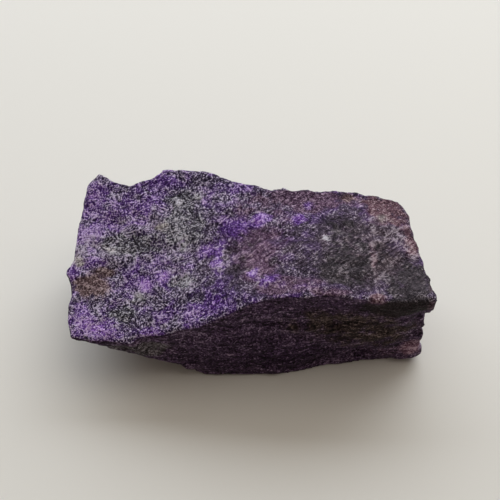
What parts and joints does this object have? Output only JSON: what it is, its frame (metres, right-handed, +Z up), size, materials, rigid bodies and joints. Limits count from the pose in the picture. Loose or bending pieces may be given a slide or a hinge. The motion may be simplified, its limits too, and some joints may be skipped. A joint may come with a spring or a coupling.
{
  "type": "rough sugilite stone",
  "caption": "Rough broken block of violet and grey sugilite with a broad grainy top, a tall dark layered front face and a flat worn foot to rest on.",
  "frame": {"origin": "on the plane the stone rests on, under the middle of its bounding box", "axes": "+X along the stone's length towards its tall end, +Y towards its back, +Z up"},
  "size_m": [0.0878, 0.0452, 0.0295],
  "materials": {
    "violet_rock": "rough broken surface, violet grains in dark grey rock, slightly glittering"
  },
  "bodies": {
    "root": {"stone": "violet_rock"}
  },
  "joints": []
}
